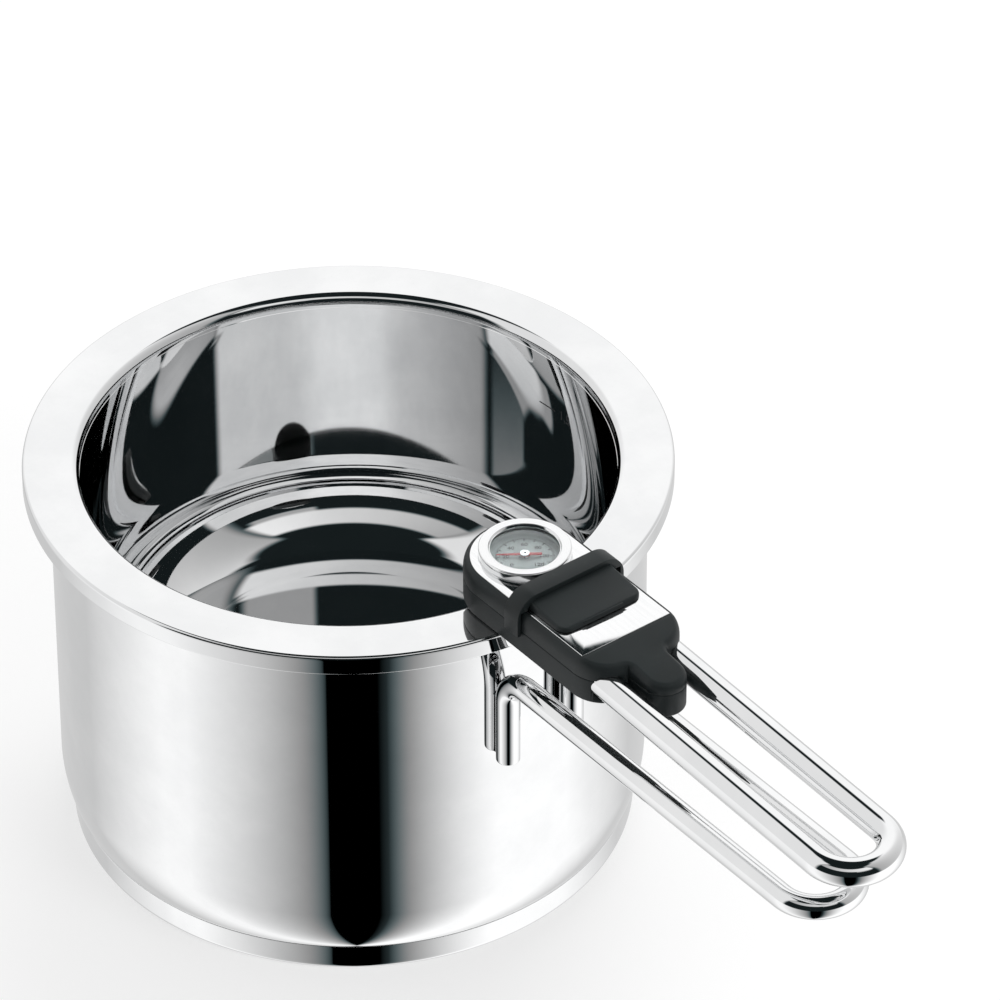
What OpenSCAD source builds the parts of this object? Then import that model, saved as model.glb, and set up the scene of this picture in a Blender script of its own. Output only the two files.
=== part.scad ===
// Double boiler: a saucepan for the water, a flanged bowl that hangs in its
// mouth, and a clip-on handle with a dial thermometer whose probe dips into
// the water beside the bowl.
// Origin: centre of the pan's underside. +Z is up, +X runs along both handles.

/* [Pan] */
// Outside diameter of the pan's wall
pan_d = 200; // [160:2:260]
// Height of the pan from the table to the top of its rim
pan_h = 142.5; // [100:0.5:200]
// Thickness of the pan's sheet
pan_sheet = 0.8; // [0.6:0.1:1.5]
// Radius of the flare that forms the pouring rim
rim_flare_r = 5.3; // [3:0.1:9]
// Height at which the wall starts to curve in towards the base
pan_corner_z = 26.5; // [18:0.5:40]
// Radius of that curve, outside
pan_corner_r = 37.8; // [25:0.1:60]
// Height of the seam above the base capsule
seam_z = 10.2; // [7:0.1:16]
// Diameter of the steam vent under the rim
vent_d = 2.4; // [1:0.1:5]

/* [Pan handle] */
// Diameter of the pan handle's rod
rod_d = 8.2; // [6:0.1:12]
// Distance between the centres of its two arms
arm_gap = 26.4; // [20:0.1:40]
// Height of the rim above the arms' centres
arm_drop = 21.5; // [16:0.5:50]
// Distance from the pan's wall to the rod's centre at the far end
loop_l = 156.5; // [100:0.5:220]
// Radius of the bend where an arm turns down to the wall
bend_r = 9.5; // [7:0.5:16]
// Height of the arms' centres above the lower end of each leg
leg_l = 35; // [22:0.5:50]

/* [Bowl] */
// Gap between the pan's inside and the bowl's wall
jacket_gap = 8.6; // [7.6:0.1:16]
// Thickness of the bowl's wall
bowl_sheet = 0.9; // [0.6:0.1:1.5]
// Overhang of the flange past the pan's rim
flange_over = 3.1; // [1.5:0.1:8]
// Height of the flange's turned-down skirt
skirt_h = 6.9; // [3:0.1:15]
// Depth of the straight wall below the flange
bowl_straight = 67.2; // [40:0.1:110]
// Radius of the curve between wall and bottom, outside
bowl_corner_r = 30.5; // [15:0.5:45]
// Thickness of the base disc under the bowl
bowl_base_t = 6.7; // [4:0.1:12]

/* [Handle head] */
// Width of the plastic head
head_w = 40.2; // [32:0.2:56]
// Height of the head above the flange
head_h = 16; // [12:0.5:24]
// Height of the joint between its two shells
split_h = 9; // [6:0.5:12]
// Wall thickness of the shells
head_wall = 2.2; // [1.6:0.1:3]
// Distance from the dial's centre to where the head's sides turn in
shoulder_l = 50.5; // [50:0.5:65]
// Length of the tongue between the grip's rods
tongue_l = 28.5; // [20:0.5:40]

/* [Thermometer] */
// Diameter of the bezel
bezel_d = 30.4; // [26:0.1:33]
// Height of the bezel above the plate
bezel_h = 3.5; // [2:0.1:6]
// Diameter of the window
window_d = 22.8; // [16:0.1:25]
// Diameter of the probe
probe_d = 4; // [3:0.1:5]
// Length of the probe below the flange
probe_l = 100; // [60:1:103]
// Direction of the pointer at room temperature, from +X
pointer_turn = 234; // [0:1:360]

/* [Thumb slide] */
// Travel of the thumb slide away from the dial
slide_travel = 6; // [3:0.5:7]
// Height of its hood above the flange
hood_h = 21.6; // [20:0.1:28]
// Depth of the hood, from its front to the edge over the thumb
hood_l = 7; // [5:0.5:10]
// Thickness of its side walls beside the head
hood_wall = 1.4; // [1:0.1:3]
// Gap between moving and fixed pieces
gap = 0.3; // [0.2:0.05:0.5]

/* [Grip] */
// Diameter of the grip's rod
grip_d = 9.5; // [7:0.1:12]
// Distance between the centres of its two rods
grip_gap = 26.6; // [24:0.1:36]
// Distance from the head's shoulder to the rod's centre at the far end
grip_l = 126.2; // [80:0.2:170]
// Fall of the grip away from the head, in degrees
grip_fall = 2; // [0:0.5:6]

/* [Hidden] */
$fn = 96;
fine = 720;
eps = 0.01;
steel = [0.80, 0.81, 0.82];
bright = [0.88, 0.89, 0.90];
alloy = [0.70, 0.71, 0.72];
plastic = [0.10, 0.11, 0.12];
rubber = [0.20, 0.21, 0.22];
red = [0.75, 0.10, 0.10];
dial_grey = [0.86, 0.88, 0.87];
glass = [0.85, 0.92, 0.93, 0.4];

pan_r = pan_d / 2;
pan_in = pan_r - pan_sheet;
cap_t = 0.7;
cap_edge_r = 2.2;
core_gap = 0.25;
shell_floor = 6.4;
floor_arc_r = 3;
corner_x = pan_r - pan_corner_r;
seam_a = asin((pan_corner_z - seam_z) / pan_corner_r);
seam_r = corner_x + pan_corner_r * cos(seam_a);
shell_foot_r = seam_r - 1;
cap_edge_x = seam_r - 4;
inner_floor = shell_floor + pan_sheet;
blend_r = 10;
inner_corner_r = pan_corner_r - pan_sheet;
blend_a = asin((pan_corner_z - inner_floor - blend_r) / (inner_corner_r - blend_r));
blend_x = corner_x + (inner_corner_r - blend_r) * cos(blend_a);
blend_z = pan_corner_z - (inner_corner_r - blend_r) * sin(blend_a);
flare_x = pan_in + rim_flare_r;
flare_z = pan_h - rim_flare_r;
lip_r = flare_x + 0.8;
lip_out = lip_r + pan_sheet / 2;
vent_z = flare_z - 4.2;

arm_y = arm_gap / 2;
arm_z = pan_h - arm_drop;
leg_end_z = arm_z - leg_l;
weld_gap = 0.3;
leg_r = pan_r + weld_gap + rod_d / 2;
leg_x = sqrt(leg_r * leg_r - arm_y * arm_y);
loop_x = pan_r + loop_l - arm_y;

flange_t = 0.9;
deck = pan_h + flange_t;
bowl_r = pan_in - jacket_gap;
bowl_in = bowl_r - bowl_sheet;
flange_r = lip_out + flange_over;
bead = 0.4;
bowl_arc_x = bowl_r - bowl_corner_r;
bowl_floor = bowl_straight + bowl_corner_r;
bowl_low = bowl_floor + bowl_base_t;
base_over = 9.3;
base_r = bowl_arc_x + base_over;
base_a = acos(base_over / bowl_corner_r);
base_edge_x = base_r - 2.1;
gland_r = probe_d / 2 + 1.2;
gland_gap = 0.5;
dial_x = pan_in - gland_r - gland_gap;
socket_gap = 0.05;
slot_gap = 0.4;

head_r = head_w / 2;
cavity_r = head_r - head_wall;
floor_t = 2.4;
grip_y = grip_gap / 2;
tongue_gap = 1.05;
tongue_r = grip_y - grip_d / 2 - tongue_gap;
shoulder_x = dial_x + shoulder_l;
shoulder_r = head_r - tongue_r;
tongue_x = shoulder_x + tongue_l - tongue_r;
plate_t = 0.8;
plate_top = head_h + 0.2;
plate_r = head_r - head_wall;
case_r = bezel_d / 2 - 1.2;
case_low = 6;
case_top = plate_top + 1.2;
dial_z = 14.7;
ledge_r = case_r - 1.8;
cup_r = case_r - 0.8;
lens_z = case_top + 0.6;
lens_t = 1;
spindle_r = 0.5;
bore_r = 1.5;

slide_x0 = dial_x + bezel_d / 2 + 1.9;
neck_r = 4.7;
neck_x0 = slide_x0 + 0.9;
neck_x1 = neck_x0 + 15;
slide_x1 = neck_x1 + slide_travel + slot_gap + 1.5;
plate_end = shoulder_x + 2;
boss_r = 3.6;
side_screw_y = cavity_r - boss_r - 0.5;
carriage_x0 = slide_x0;
carriage_x1 = carriage_x0 + 13;
carriage_screw_x = [carriage_x0 + 3.4, carriage_x0 + 10];
carriage_screw_r = 1;
carriage_r = side_screw_y - boss_r - 1.5;
carriage_low = 4.4;
carriage_top = 13.5;
pad_t = 1.2;
jaw_x = flange_r + gap + pad_t;
jaw_t = 2;
jaw_r = carriage_r - 0.7;
cavity_end = carriage_x1 + slide_travel + slot_gap;
spring_x0 = carriage_x1 + 0.1;
spring_x1 = cavity_end + 11.4;
spring_h = 9;
spring_r = 3;
wire = 0.7;
spring_turns = 6;

grip_h = 6.6;
grip_in = cavity_end + 1.5;
grip_bend_x = shoulder_x + grip_l - grip_y;
pin_x = grip_in + 7.5;
pin_r = 1.5;
side_screw_x = carriage_x0 + 5.4;
tail_screw_x = tongue_x - 1;
screw_r = 1.4;

function arc(x, y, r, from, to, n) =
    [for (i = [0:n]) [x + r * cos(from + (to - from) * i / n), y + r * sin(from + (to - from) * i / n)]];

// A profile of [radius, height] points turned about the Z axis
module turned(points) {
    rotate_extrude() polygon(points);
}

// A rod along X between two distances
module rod_x(x0, x1, y, z, r) {
    translate([x0, y, z]) rotate([0, 90, 0]) cylinder(r = r, h = x1 - x0);
}

// A square-wire coil along Z
module coil(r, w, length, turns) {
    pitch = length / turns;
    span = 360 * w / pitch;
    steps = 2;
    outer = [for (i = [0:steps]) [(r + w / 2) * cos(span * i / steps), (r + w / 2) * sin(span * i / steps)]];
    inner = [for (i = [steps:-1:0]) [(r - w / 2) * cos(span * i / steps), (r - w / 2) * sin(span * i / steps)]];
    linear_extrude(height = length, twist = -360 * turns, slices = turns * 16, $fn = 16)
        polygon(concat(outer, inner));
}

/* Pan */

module pot_shell() {
    foot = arc(shell_foot_r - floor_arc_r, shell_floor + floor_arc_r, floor_arc_r, -90, 0, 8);
    outer_corner = arc(corner_x, pan_corner_z, pan_corner_r, -seam_a, 0, 12);
    outer_flare = arc(flare_x, flare_z, rim_flare_r - pan_sheet, 180, 90, 10);
    lip = arc(lip_r, pan_h - pan_sheet / 2, pan_sheet / 2, -90, 90, 6);
    inner_flare = arc(flare_x, flare_z, rim_flare_r, 90, 180, 10);
    inner_corner = arc(corner_x, pan_corner_z, inner_corner_r, 0, -blend_a, 8);
    inner_blend = arc(blend_x, blend_z, blend_r, -blend_a, -90, 10);
    color(steel) difference() {
        turned(concat([[0, shell_floor]], foot, [[shell_foot_r, seam_z]], outer_corner, outer_flare,
            lip, inner_flare, inner_corner, inner_blend, [[0, inner_floor]]));
        rod_x(pan_r - 5, pan_r + 5, 0, vent_z, vent_d / 2);
    }
}

// The aluminium disc between the pan's floor and its base cap
module pot_core() {
    edge = arc(cap_edge_x, cap_edge_r, cap_edge_r - cap_t, -90, 0, 6);
    foot = arc(shell_foot_r - floor_arc_r, shell_floor + floor_arc_r, floor_arc_r, 0, -90, 8);
    color(alloy) turned(concat([[0, cap_t]], edge,
        [[seam_r - cap_t - core_gap, shell_floor + floor_arc_r]], foot, [[0, shell_floor]]));
}

module pot_base_cap() {
    outer = arc(cap_edge_x, cap_edge_r, cap_edge_r, -90, 0, 8);
    inner = arc(cap_edge_x, cap_edge_r, cap_edge_r - cap_t, 0, -90, 6);
    color(steel) turned(concat([[0, 0]], outer, [[seam_r, seam_z - 0.2], [seam_r - cap_t, seam_z - 0.2]],
        inner, [[0, cap_t]]));
}

// One bent rod: two legs on the wall, two arms and a round end
module pot_handle_loop() {
    color(bright) {
        for (side = [-1, 1]) {
            translate([leg_x, side * arm_y, leg_end_z])
                cylinder(r = rod_d / 2, h = arm_z - bend_r - leg_end_z);
            translate([leg_x + bend_r, side * arm_y, arm_z - bend_r]) rotate([90, 0, 0])
                rotate([0, 0, 90]) rotate_extrude(angle = 90) translate([bend_r, 0]) circle(r = rod_d / 2);
            rod_x(leg_x + bend_r, loop_x, side * arm_y, arm_z, rod_d / 2);
        }
        translate([loop_x, 0, arm_z]) rotate([0, 0, -90])
            rotate_extrude(angle = 180) translate([arm_y, 0]) circle(r = rod_d / 2);
    }
}

// The weld that fills the notch between a leg and the wall
module leg_weld(side) {
    turn = atan(arm_y / leg_x);
    weld_w = 5;
    weld_low = leg_end_z + 1;
    weld_h = arm_z - bend_r - leg_end_z - 2;
    color(steel) difference() {
        rotate([0, 0, side * turn]) translate([pan_r - 2, -weld_w / 2, weld_low])
            cube([2 + weld_gap + rod_d / 4, weld_w, weld_h]);
        translate([0, 0, weld_low - 1]) cylinder(r = pan_r, h = weld_h + 2, $fn = fine);
        translate([leg_x, side * arm_y, weld_low - 1]) cylinder(r = rod_d / 2, h = weld_h + 2, $fn = fine);
    }
}

module handle_weld_right() leg_weld(-1);

module handle_weld_left() leg_weld(1);

/* Bowl */

module bowl_shell() {
    top_edge = arc(flange_r - 1.2, -1.2, 1.2, 90, 0, 6);
    hem = arc(flange_r - flange_t / 2, -skirt_h + flange_t / 2, flange_t / 2, 0, -180, 6);
    under_edge = arc(flange_r - 1.5, -1.5, 0.6, 0, 90, 4);
    neck_out = arc(bowl_r + 1.2, -flange_t - 1.2, 1.2, 90, 180, 6);
    belly = arc(bowl_arc_x, -bowl_straight, bowl_corner_r, 0, -90, 20);
    hollow = arc(bowl_arc_x, -bowl_straight, bowl_corner_r - bowl_sheet, -90, 0, 20);
    mouth = arc(bowl_in + 2.3, -2, 2, 180, 90, 8);
    color(steel) translate([0, 0, deck]) difference() {
        turned(concat(top_edge, hem, under_edge, neck_out,
            [[bowl_r, 2 - bowl_straight], [bowl_r + bead, 1.5 - bowl_straight],
             [bowl_r + bead, 0.5 - bowl_straight]],
            belly, [[0, -bowl_floor], [0, bowl_sheet - bowl_floor]], hollow,
            [[bowl_in, -4.7], [bowl_in + 0.3, -4.4]], mouth));
        translate([dial_x, 0, -3]) cylinder(r = gland_r + gap, h = 6);
    }
}

// The aluminium disc under the bowl
module bowl_core() {
    edge = arc(base_edge_x, 1.5 - bowl_low + cap_t, 1.5, -90, 0, 6);
    seat = arc(bowl_arc_x, -bowl_straight, bowl_corner_r, -base_a, -90, 8);
    color(alloy) translate([0, 0, deck])
        turned(concat([[0, cap_t - bowl_low]], edge, seat, [[0, -bowl_floor]]));
}

module bowl_base_cap() {
    rim_z = 0.6 - bowl_floor;
    outer = arc(base_edge_x, cap_edge_r - bowl_low, cap_edge_r, -90, 0, 8);
    inner = arc(base_edge_x, cap_edge_r - bowl_low, cap_edge_r - cap_t, 0, -90, 6);
    color(steel) translate([0, 0, deck])
        turned(concat([[0, -bowl_low]], outer, [[base_r + cap_t, rim_z], [base_r + gap / 3, rim_z]],
            inner, [[0, cap_t - bowl_low]]));
}

/* Handle head */

// The head's outline from above, less an inset, between two heights
module head_form(inset, z0, z1) {
    h = z1 - z0;
    r = head_r - inset;
    translate([0, 0, deck + z0]) {
        translate([dial_x, 0, 0]) cylinder(r = r, h = h);
        translate([dial_x, -r, 0]) cube([shoulder_x - dial_x, 2 * r, h]);
        for (side = [-1, 1])
            translate([shoulder_x, side * tongue_r, 0]) cylinder(r = shoulder_r - inset, h = h);
        translate([shoulder_x - eps, inset - tongue_r, 0])
            cube([tongue_x - shoulder_x + eps, 2 * (tongue_r - inset), h]);
        translate([tongue_x, 0, 0]) cylinder(r = tongue_r - inset, h = h);
    }
}

// The room inside the head, in front of the grip's sockets
module head_room(z0, z1) {
    translate([0, 0, deck + z0]) {
        translate([dial_x, 0, 0]) cylinder(r = cavity_r, h = z1 - z0);
        translate([dial_x, -cavity_r, 0]) cube([cavity_end - dial_x, 2 * cavity_r, z1 - z0]);
    }
}

// The two rods of the grip with its round end, of a given radius
module grip_rods(r) {
    translate([shoulder_x, 0, deck + grip_h]) rotate([0, grip_fall, 0]) {
        for (side = [-1, 1])
            rod_x(grip_in - shoulder_x, grip_bend_x - shoulder_x, side * grip_y, 0, r);
        translate([grip_bend_x - shoulder_x, 0, 0]) rotate([0, 0, -90])
            rotate_extrude(angle = 180) translate([grip_y, 0]) circle(r = r);
    }
}

// The slot that the slide's neck travels in
module neck_slot(h) {
    translate([neck_x0 - slot_gap, -neck_r - slot_gap, 0])
        cube([neck_x1 - neck_x0 + slide_travel + 2 * slot_gap, 2 * (neck_r + slot_gap), h]);
}

// Screw places: two beside the carriage and one in the tongue
module at_screws() {
    for (side = [-1, 1])
        translate([side_screw_x, side * side_screw_y, deck]) children();
    translate([tail_screw_x, 0, deck]) children();
}

module head_lower_shell() {
    color(plastic) difference() {
        union() {
            difference() {
                head_form(0, 0, split_h);
                head_room(floor_t, split_h + 1);
            }
            translate([dial_x, 0, deck]) cylinder(r = gland_r + 3, h = case_low);
            for (side = [-1, 1])
                translate([side_screw_x, side * side_screw_y, deck + 1]) cylinder(r = boss_r, h = split_h - 1);
        }
        translate([dial_x, 0, deck - 1]) cylinder(r = gland_r + socket_gap, h = case_low + 2);
        translate([jaw_x - slot_gap, -jaw_r - slot_gap, deck - 1])
            cube([jaw_t + slide_travel + 2 * slot_gap, 2 * (jaw_r + slot_gap), floor_t + 2]);
        translate([cavity_end - 1, -spring_r - 1, deck + spring_h - spring_r - 1])
            cube([spring_x1 - cavity_end + 1.1, 2 * spring_r + 2, 10]);
        grip_rods(grip_d / 2 + socket_gap);
        at_screws() {
            translate([0, 0, -1]) cylinder(r = 3, h = 3.2);
            cylinder(r = screw_r + 0.1, h = split_h + 1);
        }
        for (side = [-1, 1])
            translate([pin_x, side * grip_y, deck + 0.8]) cylinder(r = pin_r + socket_gap, h = 10);
    }
}

module head_upper_shell() {
    tail_slope = 7.5;
    color(plastic) difference() {
        union() {
            difference() {
                head_form(0, split_h, head_h);
                head_room(split_h - 1, head_h - head_wall);
            }
            for (side = [-1, 1])
                translate([side_screw_x, side * side_screw_y, deck + split_h])
                    cylinder(r = boss_r, h = head_h - split_h - 1);
        }
        // Recess for the plate
        translate([0, 0, deck + plate_top - plate_t]) {
            translate([dial_x, 0, 0]) cylinder(r = plate_r + 0.1, h = 3);
            translate([dial_x, -plate_r - 0.1, 0]) cube([plate_end + 0.1 - dial_x, 2 * plate_r + 0.2, 3]);
        }
        // Opening for the thermometer's case
        translate([dial_x, 0, deck + split_h]) cylinder(r = case_r + 2 * socket_gap, h = 10);
        // Slot for the slide's neck
        translate([0, 0, deck + split_h]) neck_slot(10);
        translate([cavity_end - 1, -spring_r - 1, deck + split_h - 1])
            cube([spring_x1 - cavity_end + 1.1, 2 * spring_r + 2, spring_r + 2]);
        grip_rods(grip_d / 2 + socket_gap);
        at_screws() translate([0, 0, split_h - 1]) cylinder(r = screw_r + 0.05, h = 3.2);
        for (side = [-1, 1])
            translate([pin_x, side * grip_y, deck + split_h - 1]) cylinder(r = pin_r + socket_gap, h = 3);
        // The top falls away towards the tongue
        translate([plate_end + 1, -head_w, deck + head_h]) rotate([0, tail_slope, 0])
            cube([3 * head_w, 2 * head_w, head_h]);
    }
}

// The stainless plate let into the top of the head
module top_plate() {
    color(bright) translate([0, 0, deck + plate_top - plate_t]) difference() {
        union() {
            translate([dial_x, 0, 0]) cylinder(r = plate_r, h = plate_t);
            translate([dial_x, -plate_r, 0]) cube([plate_end - dial_x, 2 * plate_r, plate_t]);
        }
        translate([dial_x, 0, -1]) cylinder(r = case_r + socket_gap, h = 3);
        translate([0, 0, -1]) neck_slot(3);
    }
}

// Screws from below that hold the two shells together
module shell_screws() {
    color(alloy) at_screws() {
        translate([0, 0, 0.3]) cylinder(r = 2.8, h = 1.8);
        translate([0, 0, 2]) cylinder(r = screw_r, h = split_h - 0.2);
    }
}

/* Thermometer */

module thermometer_case() {
    color(steel) translate([dial_x, 0, deck + case_low]) difference() {
        cylinder(r = case_r, h = case_top - case_low);
        translate([0, 0, 0.8]) cylinder(r = ledge_r, h = 20);
        translate([0, 0, dial_z - case_low]) cylinder(r = cup_r, h = 20);
        translate([0, 0, -1]) cylinder(r = probe_d / 2 + 0.02, h = 3);
    }
}

module bezel_ring() {
    bezel_r = bezel_d / 2;
    window_r = window_d / 2;
    color(bright) translate([dial_x, 0, deck]) turned([
        [case_r + socket_gap, plate_top], [bezel_r - 0.3, plate_top], [bezel_r, plate_top + 0.3],
        [bezel_r, plate_top + bezel_h - 0.7], [bezel_r - 0.7, plate_top + bezel_h],
        [window_r + 0.5, plate_top + bezel_h], [window_r, plate_top + bezel_h - 0.5],
        [window_r, lens_z + lens_t], [case_r + socket_gap, lens_z + lens_t]]);
}

// The seal between the case and the glass
module dial_gasket() {
    color(rubber) translate([dial_x, 0, deck + case_top]) difference() {
        cylinder(r = case_r, h = lens_z - case_top);
        translate([0, 0, -1]) cylinder(r = cup_r, h = 3);
    }
}

module dial_glass() {
    color(glass) translate([dial_x, 0, deck + lens_z]) cylinder(r = case_r, h = lens_t);
}

module dial_face() {
    color(dial_grey) translate([dial_x, 0, deck + dial_z]) difference() {
        cylinder(r = cup_r - 0.1, h = 0.5);
        translate([0, 0, -1]) cylinder(r = spindle_r + gap, h = 3);
    }
}

// The steel tube that dips into the water, with a round tip
module probe_stem() {
    tip = probe_d / 2;
    color(bright) translate([dial_x, 0, deck]) difference() {
        union() {
            translate([0, 0, tip - probe_l]) cylinder(r = tip, h = probe_l - tip + case_low + 1.5);
            translate([0, 0, tip - probe_l]) sphere(r = tip);
        }
        translate([0, 0, tip - probe_l]) cylinder(r = bore_r, h = probe_l + 20);
    }
}

// The bush that carries the probe through the flange
module probe_gland() {
    color(alloy) translate([dial_x, 0, deck - 2.2]) difference() {
        cylinder(r = gland_r, h = case_low + 2.2);
        translate([0, 0, -1]) cylinder(r = probe_d / 2 + 0.02, h = 12);
    }
}

// The coil at the probe's tip that turns the spindle as it warms
module bimetal_coil() {
    color([0.72, 0.55, 0.30]) translate([dial_x, 0, deck + probe_d / 2 - probe_l + 0.3])
        coil(1.05, 0.45, 14, 8);
}

module pointer_spindle() {
    color(alloy) translate([dial_x, 0, deck + probe_d / 2 - probe_l + 0.6])
        cylinder(r = spindle_r, h = probe_l - probe_d / 2 + dial_z + 0.7);
}

module pointer() {
    color(red) translate([dial_x, 0, deck + dial_z + 1.3]) rotate([0, 0, pointer_turn]) difference() {
        union() {
            linear_extrude(height = 0.35)
                polygon([[-5.5, -0.55], [0, -0.5], [9.2, -0.18], [9.2, 0.18], [0, 0.5], [-5.5, 0.55]]);
            cylinder(r = 1.45, h = 0.35);
        }
        translate([0, 0, -1]) cylinder(r = 1.02, h = 3);
    }
}

module pointer_hub() {
    color(alloy) translate([dial_x, 0, deck + dial_z + 0.8]) difference() {
        union() {
            cylinder(r = 1, h = 1.3);
            cylinder(r = 1.5, h = 0.5);
            translate([0, 0, 0.85]) cylinder(r = 1.5, h = 0.45);
        }
        translate([0, 0, -1]) cylinder(r = spindle_r + 0.01, h = 2.3);
    }
}

/* Slide, carriage and jaw */

// The hood that the thumb draws back, with a flat foot over the neck's slot
module thumb_slide() {
    side_r = 8;
    lid = 1.9;
    front = 2.2;
    foot_t = 1.4;
    foot_w = 2 * (neck_r + slot_gap + 3);
    hood_w = head_w + 2 * (gap + hood_wall);
    foot_z = plate_top + gap;
    skirt_low = split_h - 1.5;
    pocket_r = 4;
    pocket_w = hood_w - 2 * side_r;
    color(plastic) translate([0, 0, deck]) difference() {
        union() {
            difference() {
                union() {
                    translate([slide_x0, -hood_w / 2, skirt_low])
                        cube([hood_l, hood_w, hood_h - side_r - skirt_low]);
                    translate([slide_x0, side_r - hood_w / 2, skirt_low])
                        cube([hood_l, hood_w - 2 * side_r, hood_h - skirt_low]);
                    for (side = [-1, 1])
                        rod_x(slide_x0, slide_x0 + hood_l, side * (hood_w / 2 - side_r), hood_h - side_r, side_r);
                }
                // Room for the head
                translate([slide_x0 - 1, -head_r - gap, 0]) cube([hood_l + 2, head_w + 2 * gap, foot_z]);
                // Pocket for the thumb
                translate([slide_x0 + front, -pocket_w / 2, foot_z - 1])
                    cube([hood_l, pocket_w, hood_h - lid - foot_z + 1]);
                for (side = [-1, 1])
                    rod_x(slide_x0 + front, slide_x0 + hood_l + 1, side * pocket_w / 2,
                        hood_h - lid - pocket_r, pocket_r);
            }
            translate([slide_x0, -foot_w / 2, foot_z]) cube([slide_x1 - slide_x0, foot_w, foot_t]);
            translate([neck_x0, -neck_r, carriage_top])
                cube([neck_x1 - neck_x0, 2 * neck_r, foot_z + 0.5 - carriage_top]);
        }
        for (x = carriage_screw_x)
            translate([x, 0, carriage_top - 1]) cylinder(r = carriage_screw_r + 0.05, h = 4.6);
    }
}

// The block under the plate that joins slide and jaw
module slide_carriage() {
    color(alloy) translate([0, 0, deck]) difference() {
        translate([carriage_x0, -carriage_r, carriage_low])
            cube([carriage_x1 - carriage_x0, 2 * carriage_r, carriage_top - carriage_low]);
        for (x = carriage_screw_x)
            translate([x, 0, 0]) cylinder(r = carriage_screw_r + 0.05, h = 20);
    }
}

// The steel jaw that closes on the flange's skirt from outside
module clamp_jaw() {
    tab_low = floor_t + 0.4;
    color(steel) translate([0, 0, deck]) difference() {
        union() {
            translate([jaw_x, -jaw_r, 0.4 - skirt_h]) cube([jaw_t, 2 * jaw_r, tab_low + skirt_h]);
            translate([jaw_x, -jaw_r, tab_low]) cube([carriage_x1 - jaw_x, 2 * jaw_r, carriage_low - tab_low]);
        }
        for (x = carriage_screw_x) {
            translate([x, 0, 0]) cylinder(r = carriage_screw_r + 0.05, h = 20);
            translate([x, 0, 0]) cylinder(r = 2.3, h = tab_low + 1);
        }
    }
}

// The soft pad between the jaw and the skirt
module jaw_pad() {
    pad_r = jaw_r - 0.5;
    color(rubber) translate([0, 0, deck]) difference() {
        translate([flange_r - 2, -pad_r, 0.9 - skirt_h])
            cube([jaw_x - flange_r + 2, 2 * pad_r, skirt_h - 1.6]);
        translate([0, 0, -skirt_h]) cylinder(r = flange_r + gap, h = 2 * skirt_h, $fn = fine);
    }
}

module carriage_screws() {
    color(alloy) translate([0, 0, deck + floor_t + 0.5]) for (x = carriage_screw_x)
        translate([x, 0, 0]) {
            cylinder(r = 2.2, h = 0.85);
            cylinder(r = carriage_screw_r, h = 13.8);
        }
}

// The spring that pushes the carriage towards the flange
module return_spring() {
    color(bright) translate([spring_x0, 0, deck + spring_h]) rotate([0, 90, 0])
        coil(spring_r - wire / 2, wire, spring_x1 - spring_x0, spring_turns);
}

/* Grip */

module grip_loop() {
    color(bright) difference() {
        grip_rods(grip_d / 2);
        for (side = [-1, 1])
            translate([pin_x, side * grip_y, deck]) cylinder(r = pin_r + socket_gap, h = 20);
    }
}

// Pins that lock the grip's rods in the head
module grip_pins() {
    color(alloy) for (side = [-1, 1])
        translate([pin_x, side * grip_y, deck + 1]) cylinder(r = pin_r, h = 9.5);
}

pot_shell();
pot_core();
pot_base_cap();
pot_handle_loop();
handle_weld_right();
handle_weld_left();
bowl_shell();
bowl_core();
bowl_base_cap();
head_lower_shell();
head_upper_shell();
top_plate();
shell_screws();
thermometer_case();
bezel_ring();
dial_gasket();
dial_glass();
dial_face();
probe_stem();
probe_gland();
bimetal_coil();
pointer_spindle();
pointer();
pointer_hub();
thumb_slide();
slide_carriage();
clamp_jaw();
jaw_pad();
carriage_screws();
return_spring();
grip_loop();
grip_pins();
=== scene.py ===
"""Double boiler: a pan, a flanged bowl in its rim and a clip-on handle with a dial thermometer.

Units are metres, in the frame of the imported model: origin under the pan's middle, +Z up,
+X along both handles. Profiles are written in millimetres, as radius or distance and height.
"""

import math

import bmesh
import bpy
import numpy as np
from mathutils import Matrix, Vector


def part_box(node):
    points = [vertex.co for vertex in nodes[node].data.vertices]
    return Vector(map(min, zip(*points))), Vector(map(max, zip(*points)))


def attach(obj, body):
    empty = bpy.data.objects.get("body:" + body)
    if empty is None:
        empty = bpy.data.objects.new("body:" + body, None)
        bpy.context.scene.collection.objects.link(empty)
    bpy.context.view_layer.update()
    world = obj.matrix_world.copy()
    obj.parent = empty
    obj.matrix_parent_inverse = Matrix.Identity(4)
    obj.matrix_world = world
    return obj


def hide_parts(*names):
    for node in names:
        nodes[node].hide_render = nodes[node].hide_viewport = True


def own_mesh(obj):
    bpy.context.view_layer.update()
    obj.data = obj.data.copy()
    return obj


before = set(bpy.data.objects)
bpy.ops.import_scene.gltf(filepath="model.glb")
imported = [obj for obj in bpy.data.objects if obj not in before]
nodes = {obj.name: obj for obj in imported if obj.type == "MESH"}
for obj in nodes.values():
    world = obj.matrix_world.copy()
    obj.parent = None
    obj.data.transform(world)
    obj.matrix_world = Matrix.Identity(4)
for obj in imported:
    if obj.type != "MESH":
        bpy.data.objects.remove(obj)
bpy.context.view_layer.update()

MM = 0.001


def low(node):
    """Lowest corner of a node, in millimetres."""
    return np.array(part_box(node)[0]) / MM


def high(node):
    """Highest corner of a node, in millimetres."""
    return np.array(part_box(node)[1]) / MM


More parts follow.
